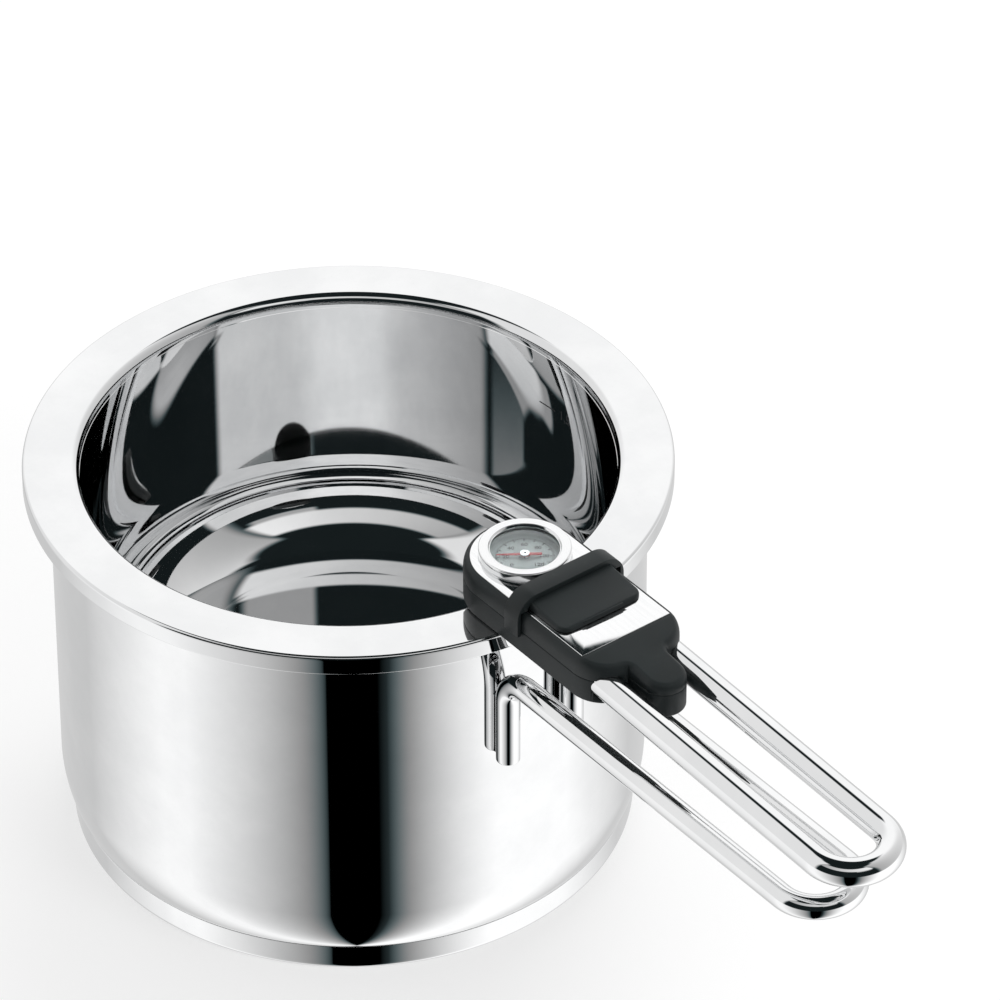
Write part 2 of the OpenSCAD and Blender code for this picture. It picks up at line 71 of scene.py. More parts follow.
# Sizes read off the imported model, in millimetres
pan_rim = high("pot_shell")[2]
lip_out = high("pot_shell")[0]
deck = high("bowl_shell")[2]
flange_r = high("bowl_shell")[0]
skirt_low = deck - 6.9
base_out = high("pot_base_cap")[0]
seam_z = high("pot_base_cap")[2] + 0.2
bowl_bottom = low("bowl_base_cap")[2]
bowl_base_out = high("bowl_base_cap")[0]
bowl_base_top = high("bowl_base_cap")[2]
dial_x = (low("bezel_ring")[0] + high("bezel_ring")[0]) / 2
bezel_r = (high("bezel_ring")[0] - low("bezel_ring")[0]) / 2
bezel_low = low("bezel_ring")[2]
bezel_high = high("bezel_ring")[2]
plate_top = high("top_plate")[2]
plate_r = high("top_plate")[1]
plate_end = high("top_plate")[0]
head_r = high("head_lower_shell")[1]
head_tail = high("head_lower_shell")[0]
head_low = low("head_lower_shell")[2]
split_z = high("head_lower_shell")[2]
head_top = high("head_upper_shell")[2]
case_r = (high("thermometer_case")[0] - low("thermometer_case")[0]) / 2
dial_top = high("dial_face")[2]

# Sheet, walls and radii, as the source of the solids has them
pan_r = 100.0
pan_sheet = 0.8
rim_flare_r = 5.3
pan_corner_z = 26.5
pan_corner_r = 37.8
vent_d = 2.4
jacket_gap = 8.6
bowl_sheet = 0.9
flange_t = 0.9
bowl_straight = 67.2
bowl_corner_r = 30.5
bead = 0.4
cap_t = 0.7
cap_edge_r = 2.2
gland_hole_r = 3.5
window_r = 11.4
tongue_r = 7.5
tongue_l = 28.5
tail_slope = math.tan(math.radians(7.5))

# The dial's scale: degrees of heat, and bearings in degrees
scale_first = 0.0
scale_last = 120.0
scale_start = 225.0
scale_sweep = 270.0
dial_turn = 54.0

# Camera, worked out from the rims and wall edges of the photographed pan
CAMERA_DISTANCE = 2.5
CAMERA_ELEVATION = 39.69
CAMERA_AZIMUTH = -36.3
CAMERA_PITCH = 37.44
CAMERA_YAW = 1.504
CAMERA_ROLL = -0.071
CAMERA_LENS = 260.35
SENSOR = 36.0


def camera():
    """The photograph's camera: it stands on a sphere round the pan's foot and looks a little to the
    right of the axis. Its axes are built from pitch, yaw and roll about the line to the pan."""
    azimuth = math.radians(CAMERA_AZIMUTH)
    rise = math.radians(CAMERA_ELEVATION)
    pitch, yaw, roll = (math.radians(a) for a in (CAMERA_PITCH, CAMERA_YAW, CAMERA_ROLL))
    turn = Matrix.Rotation(azimuth + math.pi / 2, 3, "Z")
    ahead = np.array([math.sin(yaw) * math.cos(pitch), math.cos(yaw) * math.cos(pitch), -math.sin(pitch)])
    side = np.array([math.cos(yaw), -math.sin(yaw), 0.0])
    up = np.cross(side, ahead)
    right = math.cos(roll) * side + math.sin(roll) * up
    top = -math.sin(roll) * side + math.cos(roll) * up
    axes = turn @ Matrix(np.array([right, top, -ahead]).T.tolist())
    lens = bpy.data.cameras.new("camera")
    lens.sensor_width = SENSOR
    lens.lens = CAMERA_LENS
    lens.clip_start = 0.05
    lens.clip_end = 50
    eye = bpy.data.objects.new("camera", lens)
    place = CAMERA_DISTANCE * np.array([
        math.cos(azimuth) * math.cos(rise), math.sin(azimuth) * math.cos(rise), math.sin(rise)])
    eye.matrix_world = Matrix.Translation(place.tolist()) @ axes.to_4x4()
    bpy.context.scene.collection.objects.link(eye)
    bpy.context.scene.camera = eye


class Knob:
    """A shader socket that takes part in arithmetic: each operator adds one Math node."""

    def __init__(self, tree, socket):
        self.tree = tree
        self.socket = socket

    def node(self, kind, values, **settings):
        """Adds a node, makes its settings, then fills its inputs by name or number."""
        made = self.tree.nodes.new(kind)
        for name, value in settings.items():
            setattr(made, name, value)
        for name, value in values.items():
            plug = made.inputs[name]
            if isinstance(value, Knob):
                self.tree.links.new(value.socket, plug)
            else:
                plug.default_value = value
        return made

    def out(self, made, name=0):
        """One output of a node, as a knob."""
        return Knob(self.tree, made.outputs[name])

    def math(self, operation, *others, clamp=False):
        """Any Math node, with this value first."""
        values = {i: v for i, v in enumerate((self,) + others)}
        return self.out(self.node("ShaderNodeMath", values, operation=operation, use_clamp=clamp))

    def __add__(self, other):
        return self.math("ADD", other)

    def __radd__(self, other):
        return self.math("ADD", other)

    def __sub__(self, other):
        return self.math("SUBTRACT", other)

    def __rsub__(self, other):
        return self.out(self.node("ShaderNodeMath", {0: other, 1: self}, operation="SUBTRACT"))

    def __mul__(self, other):
        return self.math("MULTIPLY", other)

    def __rmul__(self, other):
        return self.math("MULTIPLY", other)

    def __truediv__(self, other):
        return self.math("DIVIDE", other)

    def step(self, low_end, high_end):
        """Rises smoothly from 0 at low_end to 1 at high_end."""
        values = {"Value": self, "From Min": low_end, "From Max": high_end}
        return self.out(self.node("ShaderNodeMapRange", values, interpolation_type="SMOOTHSTEP"))

    def ramp(self, low_end, high_end, to_low=0.0, to_high=1.0):
        """Maps low_end..high_end onto to_low..to_high, clamped."""
        values = {"Value": self, "From Min": low_end, "From Max": high_end,
                  "To Min": to_low, "To Max": to_high}
        return self.out(self.node("ShaderNodeMapRange", values))


# Surfaces


def arc(x, z, r, start, end, n):
    """Points on a circle of radius r round (x, z), from one angle to another in degrees."""
    turn = np.radians(np.linspace(start, end, n + 1))
    return np.stack([x + r * np.cos(turn), z + r * np.sin(turn)], axis=1)


def line_of(*parts):
    """Joins arcs and points into one profile. Long straight stretches get rows near their ends,
    so that smooth shading does not carry a bend's slope along them."""
    points = np.concatenate([np.atleast_2d(np.array(p, float)) for p in parts])
    keep = np.r_[True, np.hypot(*np.diff(points, axis=0).T) > 1e-6]
    points = points[keep]
    rows = []
    for a, b in zip(points[:-1], points[1:]):
        length = np.hypot(*(b - a))
        t = np.array([0.0])
        if length > 2:
            near = 0.35 / length
            t = np.r_[0, near, np.linspace(near, 1 - near, max(2, int(length / 9)))[1:-1], 1 - near]
        rows.append(a + t[:, None] * (b - a))
    rows.append(points[-1:])
    return np.concatenate(rows)


def mesh_of(name, grids, sharp=35.0):
    """One closed mesh from grids of points. Each grid is an (m, n, 3) array in millimetres whose
    neighbours make quads; doubles at seams and poles are welded and faces turned outwards."""
    verts, faces, count = [], [], 0
    for grid in grids:
        m, n = grid.shape[:2]
        index = count + np.arange(m * n).reshape(m, n)
        verts.append(grid.reshape(-1, 3))
        corners = [index[:-1, :-1], index[1:, :-1], index[1:, 1:], index[:-1, 1:]]
        faces.append(np.stack(corners, -1).reshape(-1, 4))
        count += m * n
    mesh = bpy.data.meshes.new(name)
    mesh.from_pydata((np.concatenate(verts) * MM).tolist(), [], np.concatenate(faces).tolist())
    work = bmesh.new()
    work.from_mesh(mesh)
    bmesh.ops.remove_doubles(work, verts=work.verts, dist=2e-6)
    bmesh.ops.dissolve_degenerate(work, dist=1e-7, edges=work.edges)
    bmesh.ops.recalc_face_normals(work, faces=work.faces)
    work.to_mesh(mesh)
    work.free()
    finish_shading(mesh, sharp)
    return mesh


def finish_shading(mesh, sharp):
    """Smooth shading, broken at edges sharper than an angle in degrees."""
    mesh.polygons.foreach_set("use_smooth", np.ones(len(mesh.polygons), bool))
    mesh.set_sharp_from_angle(angle=math.radians(sharp))
    mesh.update()


def turned(profile, x=0.0, sides=288):
    """A profile of (radius, height) turned about the vertical through x: the point at parameters
    (s, t) is (x + r(s) cos t, r(s) sin t, z(s))."""
    turn = np.linspace(0, 2 * np.pi, sides + 1)
    r, z = profile[:, :1], profile[:, 1:]
    return np.stack([x + r * np.cos(turn), r * np.sin(turn), z + 0 * turn], axis=-1)


def tube(path, radius, sides=40):
    """A round bar: circles of the given radius carried along a path that lies in one plane or bends
    gently, each square to the path's direction there. The ends are closed by small rounded caps."""
    path = np.asarray(path, float)
    ahead = np.gradient(path, axis=0)
    ahead /= np.linalg.norm(ahead, axis=1)[:, None]
    side = np.empty_like(path)
    side[0] = np.cross(ahead[0], [0.0, 0.31, 0.95])
    side[0] /= np.linalg.norm(side[0])
    for i in range(1, len(path)):
        s = side[i - 1] - ahead[i] * (side[i - 1] @ ahead[i])
        side[i] = s / np.linalg.norm(s)
    up = np.cross(ahead, side)
    turn = np.linspace(0, 2 * np.pi, sides + 1)[None, :, None]

    def ring(at, r):
        return at[:, None] + r * (np.cos(turn) * side[:, None] + np.sin(turn) * up[:, None])

    body = ring(path, radius)
    edge = 0.6
    grids = [body]
    for end, sign in ((0, -1), (-1, 1)):
        swell = np.radians(np.linspace(0, 90, 7))[:, None, None]
        round_ring = (body[end] - path[end])[None] / radius
        centre = path[end] + sign * ahead[end] * (edge * np.sin(swell) - edge)
        cap = centre + round_ring * (radius - edge + edge * np.cos(swell))
        flat = np.stack([cap[-1], np.broadcast_to(centre[-1], cap[-1].shape)])
        grids += [cap, flat]
    first = edge / np.linalg.norm(path[1] - path[0])
    grids[0] = np.concatenate([
        (body[0] + (body[1] - body[0]) * first)[None], body[1:-1],
        (body[-1] + (body[-2] - body[-1]) * edge / np.linalg.norm(path[-1] - path[-2]))[None]])
    return grids


def piece(name, mesh, body, slot, material, *replaced):
    """Puts a finished mesh into the scene as one named piece of a body."""
    made = bpy.data.objects.new(name, mesh)
    bpy.context.scene.collection.objects.link(made)
    mesh.materials.clear()
    mesh.materials.append(material)
    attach(made, body)
    if replaced:
        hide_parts(*replaced)
    return made


def merged_copy(node):
    """A copy of a node's mesh with its loose triangles welded and flat areas made one face."""
    mesh = nodes[node].data.copy()
    work = bmesh.new()
    work.from_mesh(mesh)
    bmesh.ops.remove_doubles(work, verts=work.verts, dist=1e-6)
    bmesh.ops.dissolve_degenerate(work, dist=1e-7, edges=work.edges)
    bmesh.ops.dissolve_limit(work, angle_limit=math.radians(0.05), verts=work.verts, edges=work.edges)
    work.to_mesh(mesh)
    work.free()
    return mesh


def reshaped(mesh, sharp, *steps):
    """Runs modifiers on a mesh and returns the result. Each step is a modifier's type, its settings
    and, for a boolean, the mesh it works with."""
    holder = bpy.data.objects.new("work", mesh)
    bpy.context.scene.collection.objects.link(holder)
    helpers = []
    for kind, settings, other in steps:
        change = holder.modifiers.new(kind.lower(), kind)
        if other is not None:
            tool = bpy.data.objects.new("tool", other)
            bpy.context.scene.collection.objects.link(tool)
            helpers.append(tool)
            change.object = tool
        for key, value in settings.items():
            setattr(change, key, value)
    bpy.context.view_layer.update()
    result = bpy.data.meshes.new_from_object(holder.evaluated_get(bpy.context.evaluated_depsgraph_get()))
    for made in helpers + [holder]:
        bpy.data.objects.remove(made)
    finish_shading(result, sharp)
    return result


def cut(mesh, other, operation="DIFFERENCE", sharp=35.0):
    """Takes one closed mesh from another, or intersects the two."""
    return reshaped(mesh, sharp, ("BOOLEAN", {"operation": operation, "solver": "EXACT"}, other))


def softened(mesh, width, sharp=40.0, limit=38.0):
    """Rounds the sharp edges of a mesh by a width in millimetres."""
    settings = {"width": width * MM, "segments": 3, "limit_method": "ANGLE",
                "angle_limit": math.radians(limit), "harden_normals": False, "use_clamp_overlap": True,
                "miter_outer": "MITER_ARC"}
    return reshaped(mesh, sharp, ("BEVEL", settings, None))


def drum(x, y, r, z0, z1, sides=48):
    """A plain upright cutter: a cylinder between two heights."""
    grid = turned(np.array([[0, z0], [r, z0], [r, z1], [0, z1]], float), x, sides)
    grid[..., 1] += y
    return mesh_of("cutter", [grid])


# Materials


def start(name):
    """A new material with an empty Principled shader, and a knob to start expressions from."""
    made = bpy.data.materials.new(name)
    made.use_nodes = True
    shader = made.node_tree.nodes["Principled BSDF"]
    place = made.node_tree.nodes.new("ShaderNodeTexCoord")
    return made, shader, Knob(made.node_tree, place.outputs["Object"])


def noise(place, scale, detail=2.0, rough=0.5, stretch=None):
    """Noise over the object's own coordinates; stretch squeezes it along the axes."""
    if stretch is not None:
        place = place.out(place.node("ShaderNodeMapping", {"Vector": place, "Scale": stretch}))
    values = {"Vector": place, "Scale": scale, "Detail": detail, "Roughness": rough}
    return place.out(place.node("ShaderNodeTexNoise", values))


def tint(knob, low_colour, high_colour):
    """Mixes two colours by a value."""
    made = knob.node("ShaderNodeMix", {"Factor": knob}, data_type="RGBA")
    colours = [s for s in made.inputs if s.type == "RGBA"]
    colours[0].default_value = (*low_colour, 1)
    colours[1].default_value = (*high_colour, 1)
    result = [s for s in made.outputs if s.type == "RGBA"][0]
    return Knob(knob.tree, result)


def feed(shader, name, knob):
    """Links a value to one of the shader's inputs."""
    knob.tree.links.new(knob.socket, shader.inputs[name])


def bump(shader, knob, strength, distance):
    """Lets a value raise the surface a little, at a distance in metres."""
    made = knob.node("ShaderNodeBump", {"Height": knob, "Strength": strength, "Distance": distance})
    knob.tree.links.new(made.outputs["Normal"], shader.inputs["Normal"])


def scratches(place, scale, thin):
    """Sparse hairlines: where a stretched noise crosses its middle value, in patches."""
    lines = noise(place, scale, 1, 0.4, (1.0, 0.14, 0.5))
    near = (lines - 0.5).math("ABSOLUTE").ramp(0.0, thin, 1.0, 0.0)
    return near * noise(place, 26, 2).step(0.52, 0.72)


def depth_in(place, straight_r, corner_z, corner_r):
    """How far a point lies inside a pot's outer surface, in metres: an upright wall of one radius that
    ends in a round lower corner. Also returns the point's height."""
    parts = place.node("ShaderNodeSeparateXYZ", {"Vector": place})
    x, y, z = (place.out(parts, i) for i in range(3))
    radius = (x * x + y * y).math("SQRT")
    drop = (corner_z * MM - z).math("MAXIMUM", 0.0)
    bend = ((corner_r * MM) ** 2 - drop * drop).math("MAXIMUM", 0.0).math("SQRT")
    return bend + (straight_r - corner_r) * MM - radius, z


def pan_inside(place):
    """1 on the pan's inner faces, 0 outside. The steel there is made satin and darker, as painted shade."""
    depth, _ = depth_in(place, pan_r, pan_corner_z, pan_corner_r)
    return depth.step(0.3 * MM, 0.6 * MM)


def bowl_underside(place):
    """1 on the bowl's outer face below the end of its straight wall. The steel there is made satin and
    darker, as painted shade.
    """
    wall_end = deck - bowl_straight
    depth, z = depth_in(place, pan_r - pan_sheet - jacket_gap, wall_end, bowl_corner_r)
    outside = 1 - depth.step(0.3 * MM, 0.6 * MM)
    under_base = 1 - z.step((bowl_base_top - 0.6) * MM, (bowl_base_top - 0.2) * MM)
    return outside.math("MAXIMUM", under_base) * (1 - z.step((wall_end + 0.3) * MM, (wall_end + 1.2) * MM))


def mirror_steel(name, low_colour=(0.80, 0.805, 0.81), high_colour=(0.87, 0.873, 0.876), polish=0.03,
                 satin_and_shade_where=None, shaded_satin_colour=0.5):
    """Polished stainless steel: faint smears and hairlines lift the roughness, and long polishing
    waves move the reflections a little. Where the mask gives 1, the sheet is left satin, and its
    colour is darkened there as painted shade."""
    made, shader, place = start(name)
    smear = noise(place, 30, 5, 0.62)
    lines = scratches(place, 240, 0.012)
    colour = tint(smear.step(0.3, 0.75), low_colour, high_colour)
    rough = smear.ramp(0.35, 0.75, polish * 0.6, polish * 1.3) + 0.05 * lines
    if satin_and_shade_where is not None:
        mask = satin_and_shade_where(place)
        # painted shade: where the mask gives 1, the colour turns to a darker grey
        satin_shade_tint = tint(smear.step(0.3, 0.75), (shaded_satin_colour - 0.03,) * 3, (shaded_satin_colour + 0.04,) * 3)
        mixed = place.node("ShaderNodeMix", {"Factor": mask}, data_type="RGBA")
        plugs = [s for s in mixed.inputs if s.type == "RGBA"]
        place.tree.links.new(colour.socket, plugs[0])
        place.tree.links.new(satin_shade_tint.socket, plugs[1])
        colour = Knob(place.tree, [s for s in mixed.outputs if s.type == "RGBA"][0])
        rough = rough + mask * smear.ramp(0.3, 0.7, 0.08, 0.13)
    shader.inputs["Metallic"].default_value = 1
    feed(shader, "Base Color", colour)
    feed(shader, "Roughness", rough)
    bump(shader, noise(place, 11, 1), 0.02, 0.002)
    return made


def spun_steel(name, polish=0.10):
    """Steel finished on a lathe: fine rings round the dial's axis."""
    made, shader, place = start(name)
    centred = place.out(place.node("ShaderNodeMapping", {"Vector": place, "Location": (-dial_x * MM, 0, 0)}))
    parts = place.node("ShaderNodeSeparateXYZ", {"Vector": centred})
    x, y = place.out(parts, 0), place.out(parts, 1)
    radius = (x * x + y * y).math("SQRT")
    values = {"W": radius, "Scale": 9000.0, "Detail": 2.0}
    rings = radius.out(radius.node("ShaderNodeTexNoise", values, noise_dimensions="1D"))
    shader.inputs["Metallic"].default_value = 1
    feed(shader, "Base Color", tint(rings.step(0.3, 0.7), (0.84, 0.845, 0.85), (0.92, 0.922, 0.925)))
    feed(shader, "Roughness", rings.ramp(0.3, 0.7, polish * 0.7, polish * 1.4))
    bump(shader, rings, 0.06, 0.00008)
    return made


def brushed_steel(name, polish=0.09):
    """Steel brushed along the handle's length."""
    made, shader, place = start(name)
    grain = noise(place, 900, 4, 0.65, (0.05, 1.0, 1.0))
    shader.inputs["Metallic"].default_value = 1
    feed(shader, "Base Color", tint(grain.step(0.3, 0.7), (0.87, 0.875, 0.88), (0.92, 0.922, 0.925)))
    feed(shader, "Roughness", grain.ramp(0.3, 0.7, polish * 0.6, polish * 1.3))
    bump(shader, grain, 0.02, 0.0001)
    return made


def matt_plastic(name, base=(0.0085, 0.0115, 0.012)):
    """Moulded black plastic with a fine spark-eroded grain and slightly rubbed high spots."""
    made, shader, place = start(name)
    grain = noise(place, 2600, 3, 0.6)
    cloud = noise(place, 55, 4)
    rub = noise(place, 420, 3).step(0.62, 0.8)
    shader.inputs["Specular IOR Level"].default_value = 0.3
    worn = tuple(1.7 * c for c in base)
    feed(shader, "Base Color", tint(cloud.step(0.25, 0.75) * 0.7 + 0.3 * rub, base, worn))
    feed(shader, "Roughness", cloud.ramp(0.3, 0.7, 0.40, 0.50) - 0.08 * rub)
    bump(shader, grain, 0.10, 0.0002)
    return made


def plain_metal(name, base, rough):
    """Unpolished metal with a cloudy surface, for small parts that hardly show."""
    made, shader, place = start(name)
    cloud = noise(place, 220, 4)
    shader.inputs["Metallic"].default_value = 1
    feed(shader, "Base Color", tint(cloud.step(0.3, 0.7), tuple(0.9 * c for c in base), base))
    feed(shader, "Roughness", cloud.ramp(0.3, 0.7, rough * 0.8, rough * 1.2))
    bump(shader, cloud, 0.05, 0.0005)
    return made


def dull(name, base, rough, grain_scale=400):
    """Paint, ink or rubber: one colour, slightly uneven, without much shine."""
    made, shader, place = start(name)
    cloud = noise(place, grain_scale, 4)
    feed(shader, "Base Color", tint(cloud.step(0.3, 0.7), tuple(0.85 * c for c in base), base))
    feed(shader, "Roughness", cloud.ramp(0.3, 0.7, rough * 0.9, min(1, rough * 1.1)))
    bump(shader, cloud, 0.1, 0.0002)
    return made


def clear_glass(name):
    """Clear window material, in places a little less smooth."""
    made, shader, place = start(name)
    shader.inputs["Base Color"].default_value = (0.95, 0.98, 0.98, 1)
    shader.inputs["Transmission Weight"].default_value = 1
    shader.inputs["IOR"].default_value = 1.2
    feed(shader, "Roughness", noise(place, 300, 2).ramp(0.4, 0.8, 0.0, 0.03))
    return made


def dress(material, *names):
    """Gives a material to nodes that keep their own mesh."""
    for name in names:
        mesh = nodes[name].data
        mesh.materials.clear()
        mesh.materials.append(material)


# Pan and bowl


def pan_profile():
    """The pan's sheet: wall, lower curve and flared rim outside, then the same inside, a sheet's
    thickness away."""
    floor_z = 6.4
    corner_x = pan_r - pan_corner_r
    seam_a = math.degrees(math.asin((pan_corner_z - seam_z) / pan_corner_r))
    foot_r = base_out - 1
    inner_r = pan_corner_r - pan_sheet
    blend_r = 10.0
    flare_x = pan_r - pan_sheet + rim_flare_r
    flare_z = pan_rim - rim_flare_r
    lip_x = lip_out - pan_sheet / 2
    blend_a = math.degrees(math.asin((pan_corner_z - floor_z - pan_sheet - blend_r) / (inner_r - blend_r)))
    blend_x = corner_x + (inner_r - blend_r) * math.cos(math.radians(blend_a))
    blend_z = pan_corner_z - (inner_r - blend_r) * math.sin(math.radians(blend_a))
    return line_of(
        [0, floor_z], arc(foot_r - 3, floor_z + 3, 3, -90, 0, 10), [foot_r, seam_z],
        arc(corner_x, pan_corner_z, pan_corner_r, -seam_a, 0, 30),
        arc(flare_x, flare_z, rim_flare_r - pan_sheet, 180, 90, 24),
        arc(lip_x, pan_rim - pan_sheet / 2, pan_sheet / 2, -90, 90, 14),
        arc(flare_x, flare_z, rim_flare_r, 90, 180, 24),
        arc(corner_x, pan_corner_z, inner_r, 0, -blend_a, 24),
        arc(blend_x, blend_z, blend_r, -blend_a, -90, 20), [0, floor_z + pan_sheet])


def cap_profile(out_r, bottom, top, wall_in=0.0):
    """A pressed base cap: a flat disc whose edge turns up in a small bend to an upright rim."""
    centre = out_r - cap_edge_r
    inner = cap_edge_r - cap_t
    return line_of(
        [0, bottom], arc(centre, bottom + cap_edge_r, cap_edge_r, -90, 0, 14),
        arc(out_r - 0.15, top - 0.15, 0.15, 0, 90, 4), [out_r - cap_t + wall_in, top],
        arc(centre, bottom + cap_edge_r, inner, 0, -90, 10), [0, bottom + cap_t])


def bowl_profile():
    """The bowl's sheet: flat flange with a turned-down hem, a rounded mouth, straight wall with a fine
    bead where it ends, and a round bottom."""
    bowl_r = pan_r - pan_sheet - jacket_gap
    bowl_in = bowl_r - bowl_sheet
    arc_x = bowl_r - bowl_corner_r
    wall_end = deck - bowl_straight
    mouth = 3.2
    throat = 2.3
    ledge = 0.16
    under = arc(arc_x, wall_end, bowl_corner_r, 0, -90, 40)
    inside = arc(arc_x, wall_end, bowl_corner_r - bowl_sheet, -90, 0, 40)
    outer = line_of(
        arc(flange_r - 1.2, deck - 1.2, 1.2, 90, 0, 14),
        arc(flange_r - flange_t / 2, skirt_low + flange_t / 2, flange_t / 2, 0, -180, 14),
        arc(flange_r - 1.5, deck - 1.5, 0.6, 0, 90, 8),
        arc(bowl_r + throat, deck - flange_t - throat, throat, 90, 180, 14),
        [bowl_r, wall_end + 2], [bowl_r + bead, wall_end + 1.5], [bowl_r + bead, wall_end + 0.5],
        under, [0, under[-1, 1]])
    inner = line_of(
        [0, inside[0, 1]], inside, [bowl_in, deck - 4.6], [bowl_in + ledge, deck - 4.6 + ledge],
        arc(bowl_in + ledge + mouth, deck - mouth, mouth, 180, 90, 18), [flange_r - 1.2, deck])
    return outer, inner


def make_pan(steel):
    """The pan's shell with its vent bored through the wall, a raised bead round the vent, a torus that
    lies on the wall, and the cap under the base."""
    vent_z = pan_rim - rim_flare_r - 4.2
    bead_gap = 0.3
    bead_wire = 0.24
    reach = 5
    shell = mesh_of("pan_wall", [turned(pan_profile())])
    outline = [[0, -reach], [vent_d / 2, -reach], [vent_d / 2, reach], [0, reach]]
    bore = turned(np.array(outline, float), 0, 40)
    hole = mesh_of("cutter", [np.stack([bore[..., 2] + pan_r, bore[..., 1], bore[..., 0] + vent_z], -1)])
    piece("pan_wall", cut(shell, hole), "pot", "steel", steel, "pot_shell")
    full_turn = 2 * np.pi
    across, along = np.meshgrid(np.linspace(0, full_turn, 49), np.linspace(0, full_turn, 17), indexing="ij")
    ring_r = vent_d / 2 + bead_gap + bead_wire * np.cos(along)
    bead_ring = np.stack([
        pan_r + bead_wire * np.sin(along), ring_r * np.cos(across), vent_z + ring_r * np.sin(across)], -1)
    piece("vent_bead", mesh_of("vent_bead", [bead_ring]), "pot", "steel", steel)
    cap = mesh_of("pan_base", [turned(cap_profile(base_out, 0, seam_z - 0.2))])
    piece("pan_base", cap, "pot", "steel", steel, "pot_base_cap")


def make_bowl(steel):
    """The bowl's shell with the bore for the probe in its flange, and the cap under its base."""
    shell = mesh_of("bowl_wall", [turned(side) for side in bowl_profile()])
    shell = cut(shell, drum(dial_x, 0, gland_hole_r, deck - 4, deck + 4))
    piece("bowl_wall", shell, "bowl", "steel", steel, "bowl_shell")
    cap = mesh_of("bowl_base", [turned(cap_profile(bowl_base_out, bowl_bottom, bowl_base_top, 0.6))])
    piece("bowl_base", cap, "bowl", "steel", steel, "bowl_base_cap")


# Head


def head_outline(inset):
    """Half of the head's outline from above, from the dial end to the tongue's tip: round end, straight
    flank, shoulder, small inside bend, tongue. An inset makes outside arcs smaller and inside arcs
    larger."""
    fillet = 2.5
    shoulder_r = head_r - tongue_r
    shoulder_x = head_tail - tongue_l
    bend_x = shoulder_x + math.sqrt((shoulder_r + fillet) ** 2 - fillet ** 2)
    lean = math.degrees(math.asin(fillet / (shoulder_r + fillet)))
    return np.concatenate([
        arc(dial_x, 0, head_r - inset, -180, -90, 40),
        np.stack([np.linspace(dial_x, shoulder_x, 26)[1:-1], np.full(24, inset - head_r)], 1),
        arc(shoulder_x, -tongue_r, shoulder_r - inset, -90, -lean, 20),
        arc(bend_x, -tongue_r - fillet, fillet + inset, 180 - lean, 90, 10),
        arc(head_tail - tongue_r, 0, tongue_r - inset, -90, 0, 20)])


def roof(x, z):
    """Height of a point of the upper shell: behind the plate the roof falls, and all above the
    parting line shrinks with it."""
    full = head_top - split_z
    here = full - np.maximum(0, x - plate_end - 1) * tail_slope
    return split_z + (z - split_z) * np.where(z > split_z, here / full, 1)


def head_form(rows):
    """A closed form over the head's outline: rows of (inset, height) from bottom to top, both ends
    closed towards the middle line."""
    half = [head_outline(inset) for inset, _ in rows]
    flat = np.array(half)
    z = np.array([height for _, height in rows])[:, None] + 0 * flat[..., 0]
    side = np.stack([flat[..., 0], flat[..., 1], roof(flat[..., 0], z)], -1)
    middle_x = np.clip(side[:, :, 0], dial_x, head_tail - tongue_r)
    grids = []
    for sign in (1, -1):
        flank = side * np.array([1, sign, 1])
        grids.append(flank)
        for row in (0, -1):
            spine = np.stack([middle_x[row], 0 * middle_x[row], roof(middle_x[row], z[row])], -1)
            grids.append(np.stack([flank[row], spine]))
    return mesh_of("head", grids, 30)


def make_head(black):
    """Both shells keep the solid's rooms and bores and get a rounded skin: the skin's form is
    intersected with the solid."""
    skin = 0.03
    lip = 0.35
    crown = 4.2
    rim = 2.0
    edge = 1.0
    upper = [(lip, split_z - 0.01), (lip, split_z + 0.05)]
    upper += [(skin + lip * (1 - math.sin(a)), split_z + 0.05 + lip * (1 - math.cos(a)))
              for a in np.radians(np.linspace(15, 90, 5))]
    upper += [(skin + rim * (1 - math.cos(a)), head_top - crown + (crown - 0.02) * math.sin(a))
              for a in np.radians(np.linspace(0, 90, 14))]
    lower = [(skin + edge * (1 - math.sin(a)), head_low + 0.02 + edge * (1 - math.cos(a)))
             for a in np.radians(np.linspace(0, 90, 8))]
    lower += [(skin + lip * (1 - math.cos(a)), split_z - lip + lip * math.sin(a) * 0.9)
              for a in np.radians(np.linspace(0, 90, 5))]
    lower += [(lip, split_z + 0.01)]
    shells = (("head_top", upper, "head_upper_shell"), ("head_bottom", lower, "head_lower_shell"))
    for name, rows, node in shells:
        mesh = cut(head_form(rows), merged_copy(node), "INTERSECT", 30)
        piece(name, mesh, "handle", "black_plastic", black, node)


